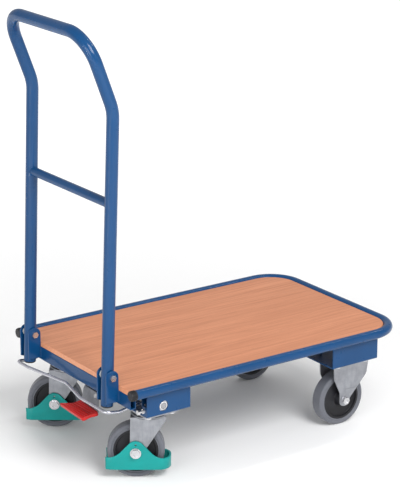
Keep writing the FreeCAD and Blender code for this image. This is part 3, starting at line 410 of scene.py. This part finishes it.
def build_frame_welds():
    """Beads at the crossbar's ends, the hinge ears and the brackets."""
    builder = bmesh.new()
    bar_low, bar_high = corners_of("crossbar")
    inset = 0.001
    near, far, top = bar_low.x + inset, bar_high.x - inset, bar_high.z - inset
    for sign in (-1, 1):
        end = sign * (bar_high.y + 0.0006)
        for x in (near, far):
            upright = [Vector((x, end, bar_high.z - drop)) for drop in (0.006, 0.0005)]
            weld_bead(builder, upright)
        weld_bead(builder, [Vector((near, end, top)), Vector((far, end, top))])
    bead, bead_gap, bead_drop = 0.025, 0.006, 0.0035
    for side in SIDES:
        low, high = corners_of(f"hinge_bracket_{side}")
        for y in (low.y, high.y):
            upright = [Vector((bar_low.x, y, z)) for z in (low.z + inset, top)]
            weld_bead(builder, upright, 0.0018)
        for kind in ("swivel", "fixed"):
            low, high = corners_of(f"{kind}_bracket_{side}")
            outer = max((low.y, high.y), key=abs)
            y = outer + math.copysign(0.0012, outer)
            z = high.z - bead_drop
            for start in (low.x + bead_gap, high.x - bead_gap - bead):
                weld_bead(builder, [Vector((start, y, z)), Vector((start + bead, y, z))], 0.0014)
    finish_piece("frame_welds", builder, "frame", "blue_paint")


def build_threads():
    """Threads on the ends of the castor bolts and the handle's pivot bolts."""
    builder = bmesh.new()
    tip = 0.0006
    up = Vector((0, 0, 1))
    bolt_top = corners_of("castor_bolts")[1].z
    nut_top = corners_of("castor_nuts")[1].z
    for side in SIDES:
        plate = centre_of(f"swivel_plate_{side}")
        rigid = Vector((corners_of(f"fixed_fork_{side}")[0].x + FIXED_PLATE_HALF, plate.y, 0))
        for middle, (dx, dy) in ((plate, SWIVEL_HOLES), (rigid, FIXED_HOLES)):
            for i in (-1, 1):
                for j in (-1, 1):
                    foot = Vector((middle.x + i * dx, middle.y + j * dy, nut_top))
                    thread(builder, foot, up, bolt_top - nut_top - tip)
    left = Vector((0, 1, 0))
    pivot = centre_of("pivot_bolts")
    bolt_end = corners_of("pivot_bolts")[1].y
    nut_end = corners_of("pivot_nuts")[1].y
    posts_apart = 2 * (corners_of("handle_tube")[1].y - POST_RADIUS)
    for shift in (0, posts_apart):
        thread(builder, Vector((pivot.x, nut_end - shift, pivot.z)), left, bolt_end - nut_end - tip)
    finish_piece("bolt_threads", builder, "frame", "zinc_bolt")


def build_plug_ribs():
    """Thin ribs round the black plugs in the frame tube's ends."""
    builder = bmesh.new()
    plug_side = corners_of("end_plugs")[1].y - FRAME_TUBE_RADIUS
    plug_z = centre_of("end_plugs").z
    tube_end = corners_of("frame_tube")[0].x
    first, pitch, rib_radius = 0.0025, 0.0026, 0.0007
    points = 48
    for sign in (-1, 1):
        for k in range(4):
            x = tube_end - first - pitch * k
            ring = []
            for i in range(points):
                angle = 2 * math.pi * i / points
                ring.append(Vector((x, sign * plug_side + FRAME_TUBE_RADIUS * math.cos(angle),
                                    plug_z + FRAME_TUBE_RADIUS * math.sin(angle))))
            tube_rings(builder, ring, [rib_radius] * points, closed=True, sides=8)
    finish_piece("plug_ribs", builder, "frame", "black_plastic")


build_handle_welds()
build_frame_welds()
build_threads()
build_plug_ribs()


# ---------------------------------------------------------------- studio and camera
def build_floor():
    """A plain pale floor, far wider than the picture."""
    reach = 14.0
    corners = [(-reach, -reach, 0), (reach, -reach, 0), (reach, reach, 0), (-reach, reach, 0)]
    mesh = bpy.data.meshes.new("studio_floor")
    mesh.from_pydata(corners, [], [(0, 1, 2, 3)])
    floor = bpy.data.objects.new("studio_floor", mesh)
    bpy.context.scene.collection.objects.link(floor)
    mesh.materials.append(floor_finish("studio_sweep"))


def area_light(name, place, aim, size, power):
    """A white soft box at a place, turned to an aim point."""
    light = bpy.data.lights.new(name, "AREA")
    light.shape = "RECTANGLE"
    light.size, light.size_y = size
    light.energy = power
    obj = bpy.data.objects.new(name, light)
    obj.location = place
    obj.rotation_euler = (Vector(aim) - Vector(place)).to_track_quat("-Z", "Y").to_euler()
    bpy.context.scene.collection.objects.link(obj)


def build_studio():
    """Bright even surroundings, soft boxes on the photo's near side and two thin strips."""
    world = bpy.data.worlds.new("studio")
    world.use_nodes = True
    background = world.node_tree.nodes["Background"]
    background.inputs["Color"].default_value = WHITE
    background.inputs["Strength"].default_value = 0.56
    bpy.context.scene.world = world
    area_light("overhead", (-0.3, -2.9, 2.8), (0.0, 0.0, 0.2), (1.7, 1.7), 116.0)
    area_light("side", (-2.7, -1.5, 1.1), (-0.2, 0.0, 0.1), (1.5, 1.2), 24.0)
    area_light("fill", (1.8, -3.0, 1.2), (0.0, 0.0, 0.3), (1.8, 1.4), 5.0)
    area_light("far_strip", (1.7, -0.1, 2.6), (0.0, -0.2, 0.2), (0.05, 1.6), 9.0)
    area_light("near_strip", (-2.8, -0.5, 0.5), (-0.4, 0.0, 0.7), (0.05, 1.2), 8.0)
    bpy.context.scene.view_settings.view_transform = "Standard"


def build_camera():
    """Camera at the viewing angle: azimuth and elevation seen from the aim point."""
    azimuth, elevation, distance = math.radians(-34.82), math.radians(17.74), 4.40
    aim = Vector((-0.057, -0.077, 0.452))
    back = Vector((math.cos(elevation) * math.sin(azimuth), -math.cos(elevation) * math.cos(azimuth),
                   math.sin(elevation)))
    lens = bpy.data.cameras.new("viewpoint")
    lens.lens = 144.1
    lens.clip_end = 60.0
    camera = bpy.data.objects.new("viewpoint", lens)
    camera.location = aim + back * distance
    camera.rotation_euler = (-back).to_track_quat("-Z", "Y").to_euler()
    bpy.context.scene.collection.objects.link(camera)
    bpy.context.scene.camera = camera


build_floor()
build_studio()
build_camera()
